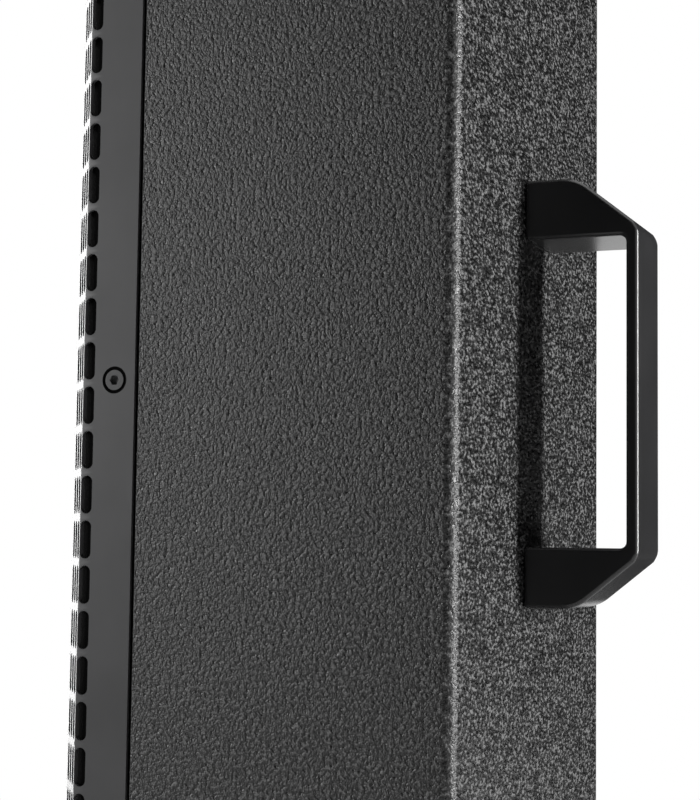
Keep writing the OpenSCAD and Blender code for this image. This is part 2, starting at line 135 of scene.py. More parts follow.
def applyPlace(piece):
    activate(piece)
    bpy.ops.object.transform_apply(location=True, rotation=True, scale=True)


def finishPiece(piece, name, material, slot, *nodes, body="cabinet", smooth=35, flat=False):
    applyPlace(piece)
    piece.name = name
    piece.data.materials.clear()
    piece.data.materials.append(material)
    if smooth:
        bpy.ops.object.shade_smooth_by_angle(angle=math.radians(smooth))
        if flat:   # large faces stay flat beside their rounded edges
            addModifier(piece, "WEIGHTED_NORMAL", keep_sharp=True)
    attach(piece, body)
    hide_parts(*nodes)
    return piece


def drawOutline(points, name):  # a closed flat face through the points, by extruding one vertex
    deselectAll()
    bpy.ops.mesh.primitive_plane_add(size=mm, location=(0, 0, 0))
    piece = startPiece(name)
    bpy.ops.object.mode_set(mode="EDIT")
    bpy.ops.mesh.select_mode(type="VERT")
    bpy.ops.mesh.select_all(action="SELECT")
    bpy.ops.mesh.merge(type="CENTER")
    bpy.ops.transform.translate(value=points[0])
    for before, after in zip(points, points[1:]):
        bpy.ops.mesh.extrude_vertices_move(
            TRANSFORM_OT_translate={"value": Vector(after) - Vector(before)})
    bpy.ops.mesh.select_all(action="SELECT")
    bpy.ops.mesh.edge_face_add()
    return piece


def turnFacesOut():  # on the piece in edit mode
    bpy.ops.mesh.select_all(action="SELECT")
    bpy.ops.mesh.normals_make_consistent(inside=False)
    bpy.ops.object.mode_set(mode="OBJECT")


def pullOutline(points, name, offset):  # an outline made solid by one extrusion
    piece = drawOutline(points, name)
    bpy.ops.mesh.extrude_region_move(TRANSFORM_OT_translate={"value": offset})
    turnFacesOut()
    return piece


def newMaterial(name, baseColor, roughness, metallic=0.0, specular=0.5):
    material = bpy.data.materials.new(name)
    material.use_nodes = True
    shader = material.node_tree.nodes["Principled BSDF"]
    shader.inputs["Base Color"].default_value = (*baseColor, 1)
    shader.inputs["Roughness"].default_value = roughness
    shader.inputs["Metallic"].default_value = metallic
    shader.inputs["Specular IOR Level"].default_value = specular
    return material, shader


def addNode(material, kind, links=None, **settings):
    made = material.node_tree.nodes.new(kind)
    for key, value in settings.items():
        if key in made.inputs:
            made.inputs[key].default_value = value
        else:
            setattr(made, key, value)
    for socket, source in (links or {}).items():
        material.node_tree.links.new(source, made.inputs[socket])
    return made


def noiseOn(material, scale, detail, roughness=0.5, place=None):
    place = place or addNode(material, "ShaderNodeTexCoord").outputs["Object"]
    return addNode(material, "ShaderNodeTexNoise", {"Vector": place},
                   Scale=scale, Detail=detail, Roughness=roughness)


def rampOn(material, source, stops):  # stops: (place, value or colour)
    ramp = addNode(material, "ShaderNodeValToRGB", {"Fac": source})
    elements = ramp.color_ramp.elements
    while len(elements) < len(stops):
        elements.new(0.5)
    for element, (place, color) in zip(elements, stops):
        element.position = place
        element.color = (*color, 1) if isinstance(color, tuple) else (color, color, color, 1)
    return ramp


def bumpOn(material, shader, height, distance):
    bump = addNode(material, "ShaderNodeBump", {"Height": height}, Distance=distance, Strength=1.0)
    material.node_tree.links.new(bump.outputs["Normal"], shader.inputs["Normal"])


paint = {
    "tone": 0.009,
    "specular": 0.5,
    "grainScale": 640,     # one bump about every 1.6 mm
    "across": 0.5,         # bumps are drawn out along X, where the rear is seen at a low angle
    "fineScale": 900,      # finer grain on what faces the rear or the front
    "fineShare": 1.15,     # above 1 it takes the other grain away again
    "height": 0.8 * mm,
    "roughness": (0.27, 0.6),
    # tone factors by bump height: painted shade in the pits, painted highlights on the tips
    "paintedShadeAndHighlight": [(0.36, 0.05), (0.50, 0.4), (0.57, 1.6), (0.66, 11.0)],
}


def makePaint():  # sprayed texture: the low ground is smooth and its colour darkened as painted shade; the tips of the bumps are dull and their colour lightened as painted highlights
    p = paint
    material, shader = newMaterial("texturedPaint", (p["tone"],) * 3, 0.4, specular=p["specular"])
    place = addNode(material, "ShaderNodeTexCoord")
    drawn = addNode(material, "ShaderNodeMapping", {"Vector": place.outputs["Object"]})
    drawn.inputs["Scale"].default_value = (p["across"], 1, 1)
    grain = noiseOn(material, p["grainScale"], 2, roughness=0.6, place=drawn.outputs["Vector"])
    fine = noiseOn(material, p["fineScale"], 2, roughness=0.6, place=drawn.outputs["Vector"])
    facing = addNode(material, "ShaderNodeSeparateXYZ", {
        "Vector": addNode(material, "ShaderNodeNewGeometry").outputs["Normal"]})
    turned = addNode(material, "ShaderNodeMath", {0: facing.outputs["Y"]}, operation="ABSOLUTE")
    share = addNode(material, "ShaderNodeMapRange", {"Value": turned.outputs[0]})
    finer = addNode(material, "ShaderNodeMath", {0: fine.outputs["Fac"], 1: grain.outputs["Fac"]},
                    operation="SUBTRACT")
    height = addNode(material, "ShaderNodeMath", {
        0: finer.outputs[0], 1: share.outputs["Result"], 2: grain.outputs["Fac"]}, operation="MULTIPLY_ADD")
    # colour darkened in the pits as painted shade and lightened on the tips as painted highlights
    tone = rampOn(material, height.outputs[0], [(at, p["tone"] * k) for at, k in p["paintedShadeAndHighlight"]])
    material.node_tree.links.new(tone.outputs["Color"], shader.inputs["Base Color"])
    rough = addNode(material, "ShaderNodeMapRange", {"Value": height.outputs[0]})
    for node, values in ((share, (0.5, 0.95, 0, p["fineShare"])), (rough, (0.35, 0.7, *p["roughness"]))):
        for key, value in zip(("From Min", "From Max", "To Min", "To Max"), values):
            node.inputs[key].default_value = value
    material.node_tree.links.new(rough.outputs["Result"], shader.inputs["Roughness"])
    bumpOn(material, shader, height.outputs[0], p["height"])
    return material


clouding = {"scale": 24, "spread": 0.12}   # slight change of tone over a surface


def makeFine(name, color, roughness, grainScale, height, metallic=0.0, specular=0.5):
    material, shader = newMaterial(name, color, roughness, metallic, specular)
    grain = noiseOn(material, grainScale, 3)
    bumpOn(material, shader, grain.outputs["Fac"], height)
    cloud = noiseOn(material, clouding["scale"], 3)
    low = tuple(c * (1 - clouding["spread"]) for c in color)
    high = tuple(min(1, c * (1 + clouding["spread"])) for c in color)
    tone = rampOn(material, cloud.outputs["Fac"], [(0.35, low), (0.65, high)])
    material.node_tree.links.new(tone.outputs["Color"], shader.inputs["Base Color"])
    return material


paintMaterial = makePaint()
powderMaterial = makeFine("powderCoat", (0.058, 0.058, 0.0595), 0.42, 2600, 0.012 * mm, specular=0.35)
# near black: painted shade for the grille's slot walls, cut edges and screw seats
slotWallShadeMaterial = makeFine("slotWallShade", (0.003, 0.003, 0.003), 0.8, 2000, 0.01 * mm, specular=0.03)
# near black: painted shade for the rebate seen through the grille's slots
rebateShadeMaterial = makeFine("rebatePaintedShade", (0.003, 0.003, 0.003), 0.9, 900, 0.1 * mm, specular=0.03)
handleMaterial = makeFine("handlePlastic", (0.018, 0.018, 0.0186), 0.25, 3000, 0.004 * mm)
socketMaterial = makeFine("socketPlastic", (0.018, 0.018, 0.019), 0.38, 2400, 0.01 * mm)
rubberMaterial = makeFine("rubber", (0.02, 0.02, 0.021), 0.7, 1800, 0.03 * mm)
steelMaterial = makeFine("platedSteel", (0.55, 0.55, 0.57), 0.32, 2200, 0.006 * mm, metallic=1.0)
blackSteelMaterial = makeFine("blackSteel", (0.05, 0.05, 0.052), 0.4, 2600, 0.01 * mm)
brassMaterial = makeFine("brass", (0.72, 0.52, 0.22), 0.3, 2200, 0.006 * mm, metallic=1.0)
foamMaterial = makeFine("acousticFoam", (0.006, 0.006, 0.006), 0.95, 900, 0.5 * mm, specular=0.05)
waddingMaterial = makeFine("wadding", (0.68, 0.68, 0.64), 0.9, 500, 0.8 * mm, specular=0.1)
paperMaterial = makeFine("conePaper", (0.035, 0.035, 0.038), 0.75, 1300, 0.06 * mm)
clothMaterial = makeFine("spiderCloth", (0.42, 0.26, 0.1), 0.85, 1600, 0.08 * mm)
ferriteMaterial = makeFine("ferrite", (0.07, 0.07, 0.075), 0.55, 2000, 0.03 * mm)
plywoodMaterial = makeFine("plywood", (0.52, 0.37, 0.21), 0.6, 700, 0.05 * mm)
boardMaterial = makeFine("circuitBoard", (0.02, 0.16, 0.07), 0.35, 2400, 0.01 * mm)
copperMaterial = makeFine("copperWire", (0.62, 0.28, 0.12), 0.35, 1200, 0.05 * mm, metallic=0.9)
capacitorMaterial = makeFine("capacitorFilm", (0.7, 0.6, 0.34), 0.3, 2000, 0.01 * mm)
domeMaterial = makeFine("domeMetal", (0.66, 0.66, 0.68), 0.28, 2400, 0.005 * mm, metallic=1.0)
print("materials made")


slotMaterials = {
    "textured_paint": paintMaterial, "bare_plywood": plywoodMaterial, "wadding": waddingMaterial,
    "powder_coat": powderMaterial, "foam": foamMaterial, "black_steel": blackSteelMaterial,
    "black_plastic": socketMaterial, "brass": brassMaterial, "plated_steel": steelMaterial,
    "paper_cone": paperMaterial, "rubber": rubberMaterial, "spider_cloth": clothMaterial,
    "ferrite": ferriteMaterial, "dome_metal": domeMaterial, "circuit_board": boardMaterial,
    "copper_wire": copperMaterial, "capacitor_film": capacitorMaterial,
}


def dressNodes():
    for part in frame["record"]["subparts"]:
        node = frame["nodes"][part["node"]]
        for holder in node.material_slots:
            holder.material = slotMaterials[part["material_slot"]]
        if not node.material_slots:
            node.data.materials.append(slotMaterials[part["material_slot"]])


dressNodes()
print("nodes dressed")


grille = {
    "sheet": 1.5 * mm,
    "slopeWidth": 18.5 * mm,
    "slopeDepth": 14.5 * mm,
    "flange": 22.4 * mm,
    "bendRadius": 0.9 * mm,
    "columns": 34,
    "rows": 38,
    "pitchZ": 17.2 * mm,
    "slotLength": 14.6 * mm,
    "slotWidth": 4.9 * mm,
    "slotSides": 16,
    "weld": 0.02 * mm,         # corners this near each other become one
    "firstColumn": 2.5 * mm,   # centre of the outermost column, on the flange side of the bend
    "screwRise": 290 * mm,     # from the middle screw to the upper and the lower one
    "screwFromEdge": 8.8 * mm,
    "screwLift": 0.9 * mm,
    "screwHole": 5.25 * mm,    # radius of the countersunk seat
    "seatNarrows": 0.6,
    "seatDepth": 1.4 * mm,
    "seatMargin": 1.2 * mm,    # plain border that is meshed anew around a seat
    "nearSeat": (9 * mm, 14 * mm),
    "bendSteps": 4,
    "nearBend": 30 * mm,
}
screwHeights = [midHeight + grille["screwLift"] + rise
                for rise in (-grille["screwRise"], 0, grille["screwRise"])]


def slottedSheet():  # the flat sheet before folding, in the XZ plane, centred on X
    g = grille
    slope = math.hypot(g["slopeWidth"], g["slopeDepth"])
    flat = 2 * (halfWidth - g["slopeWidth"])
    bend = flat / 2 + slope                       # unfolded distance from the middle to the outer bend
    pitchX = 2 * (bend + g["firstColumn"]) / (g["columns"] - 1)
    deselectAll()
    bpy.ops.mesh.primitive_circle_add(
        vertices=g["slotSides"], radius=g["slotWidth"] / 2, rotation=(math.pi / 2, 0, 0),
        fill_type="NOTHING")
    cell = startPiece("grilleCell")
    applyPlace(cell)
    bpy.ops.object.mode_set(mode="EDIT")
    bpy.ops.mesh.select_all(action="SELECT")
    bpy.ops.transform.rotate(   # half a side, so that the two ends part evenly
        value=math.pi / g["slotSides"], orient_axis="Y", center_override=(0, 0, 0))
    reach = (g["slotLength"] - g["slotWidth"]) / 2
    for side in (-1, 1):
        pick(cell, "verts", lambda co: co.z * side > 0)
        bpy.ops.transform.translate(value=(0, 0, side * reach))
    bpy.ops.object.mode_set(mode="OBJECT")
    deselectAll()
    bpy.ops.mesh.primitive_plane_add(size=1, rotation=(math.pi / 2, 0, 0))
    border = startPiece("cellBorder")
    border.scale = (pitchX, g["pitchZ"], 1)
    applyPlace(border)
    bpy.ops.object.mode_set(mode="EDIT")
    bpy.ops.mesh.select_all(action="SELECT")
    bpy.ops.mesh.delete(type="ONLY_FACE")
    cell = joinAll([cell, border])
    bpy.ops.object.mode_set(mode="EDIT")
    bpy.ops.mesh.select_all(action="SELECT")
    bpy.ops.mesh.fill()
    for count, offset in ((g["columns"], (pitchX, 0, 0)), (g["rows"], (0, 0, g["pitchZ"]))):
        addModifier(cell, "ARRAY", count=count, use_relative_offset=False, use_constant_offset=True,
                    constant_offset_displace=offset, use_merge_vertices=True, merge_threshold=g["weld"])
    cell.data.transform(Matrix.Translation((
        -pitchX * (g["columns"] - 1) / 2, 0, midHeight - g["pitchZ"] * (g["rows"] - 1) / 2)))
    half = pitchX * g["columns"] / 2
    ends = g["pitchZ"] * g["rows"] / 2
    edge = bend + g["flange"]
    tiny = 0.05 * mm
    for side in (-1, 1):                          # plain margins: ends first, then the flanges
        pick(cell, "edges",
             lambda a, b: min((a.z - midHeight) * side, (b.z - midHeight) * side) > ends - tiny)
        grow = (grilleHigh.z - grilleLow.z) / 2 - ends
        bpy.ops.mesh.extrude_edges_move(TRANSFORM_OT_translate={"value": (0, 0, side * grow)})
    for side in (-1, 1):
        pick(cell, "edges", lambda a, b: min(a.x * side, b.x * side) > half - tiny)
        bpy.ops.mesh.extrude_edges_move(TRANSFORM_OT_translate={"value": (side * (edge - half), 0, 0)})
    return cell, bend, flat / 2, edge


def punchSeat(sheet, x, z):  # a square is cut out round the seat and filled again up to its ring
    radius = grille["screwHole"]
    reach = radius + grille["seatMargin"]
    nearX, nearZ = grille["nearSeat"]
    near = lambda co: abs(co.x - x) < nearX and abs(co.z - z) < nearZ
    for place, normal in (((x - reach, 0, z), (1, 0, 0)), ((x + reach, 0, z), (1, 0, 0)),
                          ((x, 0, z - reach), (0, 0, 1)), ((x, 0, z + reach), (0, 0, 1))):
        pick(sheet, "faces", lambda co, normal: near(co))
        bpy.ops.mesh.bisect(plane_co=place, plane_no=normal)
    pick(sheet, "faces", lambda co, normal: abs(co.x - x) < reach and abs(co.z - z) < reach)
    bpy.ops.mesh.delete(type="FACE")
    bpy.ops.object.mode_set(mode="OBJECT")
    deselectAll()
    bpy.ops.mesh.primitive_circle_add(
        vertices=40, radius=radius, location=(x, 0, z), rotation=(math.pi / 2, 0, 0), fill_type="NOTHING")
    ring = startPiece("ring")
    applyPlace(ring)
    joinAll([sheet, ring])
    tiny = 0.02 * mm
    inside = lambda co: abs(co.x - x) < reach + tiny and abs(co.z - z) < reach + tiny
    pick(sheet, "edges", lambda a, b: inside(a) and inside(b))
    bpy.ops.mesh.fill()
    centre = Vector((x, 0, z))
    pick(sheet, "edges", lambda a, b: max((a - centre).length, (b - centre).length) < radius + tiny)
    bpy.ops.mesh.extrude_edges_move(TRANSFORM_OT_translate={"value": (0, grille["seatDepth"], 0)})
    narrow = grille["seatNarrows"]
    bpy.ops.transform.resize(value=(narrow, 1, narrow), center_override=(x, grille["seatDepth"], z))


def foldSheet(sheet, at, axisTurn, side):  # turns what lies outside a line, in a few small steps
    steps = grille["bendSteps"]
    arc = grille["bendRadius"] * abs(axisTurn)
    for step in range(steps):
        line = at + arc * ((step + 0.5) / steps - 0.5)
        pick(sheet, "faces", lambda co, normal: abs(co.x * side - line) < grille["nearBend"])
        bpy.ops.mesh.bisect(plane_co=(side * line, 0, 0), plane_no=(1, 0, 0))
    bpy.ops.object.mode_set(mode="OBJECT")
    for step in reversed(range(steps)):
        line = at + arc * ((step + 0.5) / steps - 0.5)
        pick(sheet, "verts", lambda co: co.x * side > line + 0.001 * mm)
        bpy.ops.transform.rotate(value=side * axisTurn / steps, orient_axis="Z",
                                 center_override=(side * line, 0, 0))
    bpy.ops.object.mode_set(mode="OBJECT")


def foldedSheet():
    g = grille
    sheet, bend, flatHalf, edge = slottedSheet()
    screwX = edge - g["screwFromEdge"]
    for side in (-1, 1):
        for z in screwHeights:
            punchSeat(sheet, side * screwX, z)
    bpy.ops.object.mode_set(mode="OBJECT")
    slopeTurn = math.atan2(g["slopeDepth"], g["slopeWidth"])
    for side in (-1, 1):
        foldSheet(sheet, bend, -(math.pi / 2 - slopeTurn), side)
        foldSheet(sheet, flatHalf, -slopeTurn, side)
    sheet.data.transform(Matrix.Translation((0, frontFace, 0)))
    bpy.ops.object.mode_set(mode="EDIT")
    turnFacesOut()
    return sheet


def makeGrille():
    sheet = foldedSheet()
    low, high = sheet.bound_box[0], sheet.bound_box[6]
    tuck = (halfWidth * 2) / (high[0] - low[0])   # the soft bends leave it a hair wide
    sheet.data.transform(Matrix.Diagonal((tuck, 1, 1, 1)))
    shift = grilleLow.y - min(vertex.co.y for vertex in sheet.data.vertices)
    sheet.data.transform(Matrix.Translation((0, shift, 0)))
    addModifier(sheet, "SOLIDIFY", thickness=grille["sheet"], offset=-1, use_even_offset=True,
                material_offset_rim=1)
    seat = lambda at: min(math.hypot(at.y - screwY, at.z - z) for z in screwHeights) < grille["screwHole"]
    # the sheet's cut edges, slot walls among them, and the countersunk seats are coloured near black as
    # painted shade
    dark = [face.index for face in sheet.data.polygons if face.material_index == 1 or seat(face.center)]
    finishPiece(sheet, "grille", powderMaterial, "powder_coat", "grille_sheet", smooth=30)
    sheet.data.materials.append(slotWallShadeMaterial)
    for index in dark:
        sheet.data.polygons[index].material_index = 1


makeGrille()
print("grille made")


handle = {
    "out": handleHigh.y - rearFace,
    "width": handleHigh.x - handleLow.x,
    "half": (handleHigh.z - handleLow.z) / 2,
    "gripHalf": 61 * mm,       # half the opening
    "bar": 5.0 * mm,
    "straight": 15 * mm,       # level part of each arm
    "shoulder": 17 * mm,       # radius of the rounded shoulder
    "shoulderEnd": 52,         # degrees, where it runs into the slanted face
    "faceHalf": 63.3 * mm,     # half the bar's outer face
    "facet": (1.8 * mm, 3.1 * mm),
    "gripRadius": 2.5 * mm,
    "edge": 1.7 * mm,
}


def arcPoints(startX, topZ, radius, turns):  # an arc that touches a level line at its top
    return [(startX + radius * math.cos(math.radians(turn)),
             topZ - radius * (1 - math.sin(math.radians(turn)))) for turn in turns]


def handleProfile():  # depth and height from the rear face and the middle, upper half
    h = handle
    turns = range(90, h["shoulderEnd"] - 1, -2)
    outer = [(0, h["half"])] + arcPoints(h["straight"], h["half"], h["shoulder"], turns)
    outer += [(h["out"] - h["facet"][0], h["faceHalf"] + h["facet"][1]), (h["out"], h["faceHalf"])]
    corner = h["out"] - h["bar"] - h["gripRadius"]
    inner = arcPoints(corner, h["gripHalf"], h["gripRadius"], range(0, 91, 15)) + [(0, h["gripHalf"])]
    return outer, inner


def makeHandle():
    h = handle
    outer, inner = handleProfile()
    loop = outer + [(d, -z) for d, z in reversed(outer)] + [(d, -z) for d, z in reversed(inner)] + inner
    piece = pullOutline([(-h["width"] / 2, rearFace + d, midHeight + z) for d, z in loop], "handle",
                        (h["width"], 0, 0))
    bevelEdges(piece, h["edge"], segments=4, angle=22)
    finishPiece(piece, "rearHandle", handleMaterial, "black_plastic", "handle", smooth=40, flat=True)


makeHandle()
print("handle made")


grilleScrew = {
    "head": 4.0 * mm,          # radii of head, shank and hexagon
    "shank": 2.4 * mm,
    "depth": 2.2 * mm,         # of the countersunk head
    "shankLength": 8.6 * mm,
    "hex": 2.0 * mm,
    "hexDepth": 1.9 * mm,
    "sink": 0.1 * mm,          # the head lies this far below the flange's face
    "edge": 0.18 * mm,
}


def makeGrilleScrews():
    g = grilleScrew
    deselectAll()
    bpy.ops.mesh.primitive_cone_add(vertices=40, radius1=g["shank"], radius2=g["head"], depth=g["depth"])
    head = startPiece("head")
    bpy.ops.mesh.primitive_cylinder_add(vertices=6, radius=g["hex"], depth=2 * g["hexDepth"],
                                        location=(0, 0, g["depth"] / 2))
    hexagon = startPiece("hexagon")
    cutAway(head, hexagon)
    pick(head, "faces", lambda co, normal: normal.z < -0.9 and co.z < -g["depth"] / 2 + 0.1 * mm)
    bpy.ops.mesh.extrude_region_move(TRANSFORM_OT_translate={"value": (0, 0, -g["shankLength"])})
    bpy.ops.object.mode_set(mode="OBJECT")
    bevelEdges(head, g["edge"])
    head.data.transform(Matrix.Translation((0, 0, -g["depth"] / 2)))
    heads = []
    for side in (-1, 1):
        for z in screwHeights:
            place = Matrix.Translation((side * (halfWidth - g["sink"]), screwY, z))
            twin = copyOf(head)
            twin.data.transform(place @ Matrix.Rotation(side * math.pi / 2, 4, "Y"))
            heads.append(twin)
    bpy.data.objects.remove(head)
    finishPiece(joinAll(heads), "grilleScrews", powderMaterial, "black_steel", "grille_screws",
                smooth=50, flat=True)


makeGrilleScrews()
print("grille screws made")


def boxPiece(name, low, high, rounded=0.0):  # a box; its edges along Y can be rounded
    deselectAll()
    middle = [(a + b) / 2 for a, b in zip(low, high)]
    bpy.ops.mesh.primitive_cube_add(size=1, location=middle)
    piece = startPiece(name)
    piece.scale = [b - a for a, b in zip(low, high)]
    applyPlace(piece)
    if rounded:
        pick(piece, "edges", lambda a, b: abs((a - b).normalized().y) > 0.99)
        bpy.ops.mesh.bevel(offset=rounded, segments=6)
        bpy.ops.object.mode_set(mode="OBJECT")
    return piece


def rod(radius, low, high, axis, sides=48, radius2=None):  # a rod or cone between two points
    deselectAll()
    low, high = Vector(low), Vector(high)
    turn = {"X": (0, math.pi / 2, 0), "Y": (-math.pi / 2, 0, 0), "Z": (0, 0, 0)}[axis]
    bpy.ops.mesh.primitive_cone_add(
        vertices=sides, radius1=radius, radius2=radius if radius2 is None else radius2,
        depth=(high - low).length, location=(low + high) / 2, rotation=turn)
    piece = startPiece("rod")
    applyPlace(piece)
    return piece


foam = {
    "thick": 4 * mm,
    "gap": 0.3 * mm,
    "wing": 10 * mm,           # the strip that is folded back, across and in depth
    "wingBack": 8.7 * mm,
    "inset": 1 * mm,           # the bend sits further in at the back of the sheet
    "edge": 1.1 * mm,
}


def makeFoam():  # the foam sheet behind the slots, folded back a little along both sides
    f = foam
    low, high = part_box("grille_foam")
    flat = halfWidth - grille["slopeWidth"] - grille["sheet"]
    near = grilleLow.y + grille["sheet"] + f["gap"]
    front = [(-flat - f["wing"], near + f["wingBack"]), (-flat, near), (flat, near),
             (flat + f["wing"], near + f["wingBack"])]
    back = [(flat + f["wing"], near + f["wingBack"] + f["thick"]), (flat - f["inset"], near + f["thick"]),
            (-flat + f["inset"], near + f["thick"]), (-flat - f["wing"], near + f["wingBack"] + f["thick"])]
    piece = pullOutline([(x, y, low.z) for x, y in front + back], "foam", (0, 0, high.z - low.z))
    bevelEdges(piece, f["edge"], segments=3, angle=25)
    finishPiece(piece, "grilleFoam", foamMaterial, "foam", "grille_foam", smooth=60, flat=True)


makeFoam()
print("foam made")


wadding = {
    "thick": 11 * mm,
    "brace": 12 * mm,          # thickness of a brace between two pads
    "margin": 1.0 * mm,
    "voxel": 3.5 * mm,
    "smooth": (0.6, 26),       # factor and number of rounds
    "lump": 2.2 * mm,
    "lumpSize": 26 * mm,
}


def makeWadding():  # six soft pads on the inside of the side panels
    w = wadding
    low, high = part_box("wadding_pads")
    braceLow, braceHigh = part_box("braces")
    gap = w["margin"]
    rooms = [(low.z, braceLow.z - gap), (braceLow.z + w["brace"] + gap, braceHigh.z - w["brace"] - gap),
             (braceHigh.z + gap, high.z)]
    lumps = bpy.data.textures.new("waddingLumps", "CLOUDS")
    lumps.noise_scale = w["lumpSize"]
    pads = []
    for side in (-1, 1):
        for bottom, top in rooms:
            outer = side * (high.x - gap / 2)
            inner = outer - side * w["thick"]
            ends = (Vector((min(inner, outer), low.y + gap, bottom + gap)),
                    Vector((max(inner, outer), high.y - gap, top - gap)))
            pad = boxPiece("pad", *ends)
            addModifier(pad, "REMESH", mode="VOXEL", voxel_size=w["voxel"])
            addModifier(pad, "SMOOTH", factor=w["smooth"][0], iterations=w["smooth"][1])
            addModifier(pad, "DISPLACE", texture=lumps, strength=w["lump"], mid_level=0.5)
            size = [max(v.co[i] for v in pad.data.vertices) - min(v.co[i] for v in pad.data.vertices)
                    for i in range(3)]
            lowest = Vector([min(v.co[i] for v in pad.data.vertices) for i in range(3)])
            fit = Matrix.Diagonal([(ends[1][i] - ends[0][i]) / size[i] for i in range(3)] + [1])
            pad.data.transform(Matrix.Translation(ends[0]) @ fit @ Matrix.Translation(-lowest))
            pads.append(pad)
    piece = joinAll(pads)
    finishPiece(piece, "waddingPads", waddingMaterial, "wadding", "wadding_pads", smooth=80)


makeWadding()
print("wadding made")


plates = {
    "corner": 5 * mm,
    "slope": (18.5 * mm, 14.5 * mm),
    "edge": 0.6 * mm,
    "steps": 8,                # in the rounded corner
}


def rearCorner(high, steps):  # the rounded corner between a side and the rear, seen from above
    radius = plates["corner"]
    turns = [math.radians(90 * step / steps) for step in range(steps + 1)]
    return [(high.x - radius * (1 - math.cos(t)), high.y - radius * (1 - math.sin(t))) for t in turns]


def endPanel(name, low, high):  # the cabinet's outline seen from above, as a plate
    p = plates
    half = [(high.x - p["slope"][0], low.y), (high.x, low.y + p["slope"][1])] + rearCorner(high, p["steps"])
    loop = half + [(-x, y) for x, y in reversed(half)]
    return pullOutline([(x, y, low.z) for x, y in loop], name, (0, 0, high.z - low.z))


panel = {
    "rebate": 1.8 * mm,        # the grille's flange lies here
    "joint": 1.6 * mm,         # gap in front of the panel's outer face
    "insert": 4.05 * mm,       # bore for a threaded insert behind the grille's screw
    "insertStart": 3 * mm,     # thickness left behind that bore
    "edge": 0.5 * mm,
    "steps": 12,
}


def makeSidePanels():  # the rebate behind the flange is coloured near black, as painted shade where it is seen through the grille's slots
    p = panel
    low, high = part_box("side_panel_right")
    joint = grilleHigh.y + p["joint"]
    loop = [(low.x, high.y), (low.x, low.y), (high.x - p["rebate"], low.y), (high.x - p["rebate"], joint),
            (high.x, joint)] + rearCorner(high, p["steps"])
    right = pullOutline([(x, y, low.z) for x, y in loop], "sidePanel", (0, 0, high.z - low.z))
    near = lambda co: abs(co.y - joint) < 0.1 * mm and abs(co.x - high.x) < 0.1 * mm
    pick(right, "edges", lambda a, b: near(a) and near(b))
    bpy.ops.mesh.bevel(offset=p["edge"], segments=3)
    bpy.ops.object.mode_set(mode="OBJECT")
    for z in screwHeights:
        start, end = (low.x + p["insertStart"], screwY, z), (high.x + past, screwY, z)
        cutAway(right, rod(p["insert"], start, end, "X", sides=32))
    left = copyOf(right)
    left.data.transform(Matrix.Diagonal((-1, 1, 1, 1)))
    activate(left)
    bpy.ops.object.mode_set(mode="EDIT")
    bpy.ops.mesh.select_all(action="SELECT")
    bpy.ops.mesh.flip_normals()
    bpy.ops.object.mode_set(mode="OBJECT")
    for piece, name, node in ((right, "sidePanelRight", "side_panel_right"),
                              (left, "sidePanelLeft", "side_panel_left")):
        finishPiece(piece, name, paintMaterial, "textured_paint", node, smooth=35, flat=True)
        # the rebate's faces take the painted shade
        piece.data.materials.append(rebateShadeMaterial)
        for face in piece.data.polygons:
            if face.center.y < joint - 0.1 * mm and abs(face.normal.x) > 0.5:
                face.material_index = 1


makeSidePanels()
print("side panels made")


rigging = {"out": 40 * mm, "hole": 6.05 * mm}
pole = {
    "y": (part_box("pole_socket")[0].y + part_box("pole_socket")[1].y) / 2,
    "hole": 21.5 * mm,
    "rebate": 38.3 * mm,
    "rebateDepth": 3.2 * mm,
    "bolts": 30 * mm,          # radius of the ring of bolts
    "boltHole": 2.1 * mm,
    "boltDepth": 12 * mm,
}
foot = {
    "bottom": 9 * mm,          # radii
    "top": 11 * mm,
    "hole": 2.05 * mm,
    "seat": 4.3 * mm,
    "seatDepth": 3 * mm,
    "edge": 1.0 * mm,
    "screwHole": 1.85 * mm,    # in the bottom panel
    "screwDepth": 11 * mm,
}


def upright(radius, x, y, bottom, top, sides=48, radius2=None):  # a standing rod or cone
    return rod(radius, (x, y, bottom), (x, y, top), "Z", sides=sides, radius2=radius2)


def boltPlaces():
    turns = [math.radians(turn) for turn in range(45, 360, 90)]
    return [(pole["bolts"] * math.cos(t), pole["y"] + pole["bolts"] * math.sin(t)) for t in turns]


def footPlaces():
    low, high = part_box("rubber_feet")
    radius = foot["top"]
    return [(side * (high.x - radius), y) for side in (-1, 1) for y in (low.y + radius, high.y - radius)]


def makeEndPanels():
    top = endPanel("topPanel", topLow, topHigh)
    for x in (-rigging["out"], rigging["out"]):
        cutAway(top, upright(rigging["hole"], x, pole["y"], topLow.z - past, topHigh.z + past))
    bottom = endPanel("bottomPanel", bottomLow, bottomHigh)
    y, z = pole["y"], bottomLow.z
    cutAway(bottom, upright(pole["hole"], 0, y, z - past, bottomHigh.z + past, sides=64))
    cutAway(bottom, upright(pole["rebate"], 0, y, z - past, z + pole["rebateDepth"], sides=96))
    for x, y in boltPlaces():
        cutAway(bottom, upright(pole["boltHole"], x, y, z - past, z + pole["boltDepth"], sides=20))
    for x, y in footPlaces():
        cutAway(bottom, upright(foot["screwHole"], x, y, z - past, z + foot["screwDepth"], sides=20))
    for piece, name, node in ((top, "topPanel", "top_panel"), (bottom, "bottomPanel", "bottom_panel")):
        bevelEdges(piece, plates["edge"])
        finishPiece(piece, name, paintMaterial, "textured_paint", node, smooth=35, flat=True)


makeEndPanels()
print("end panels made")


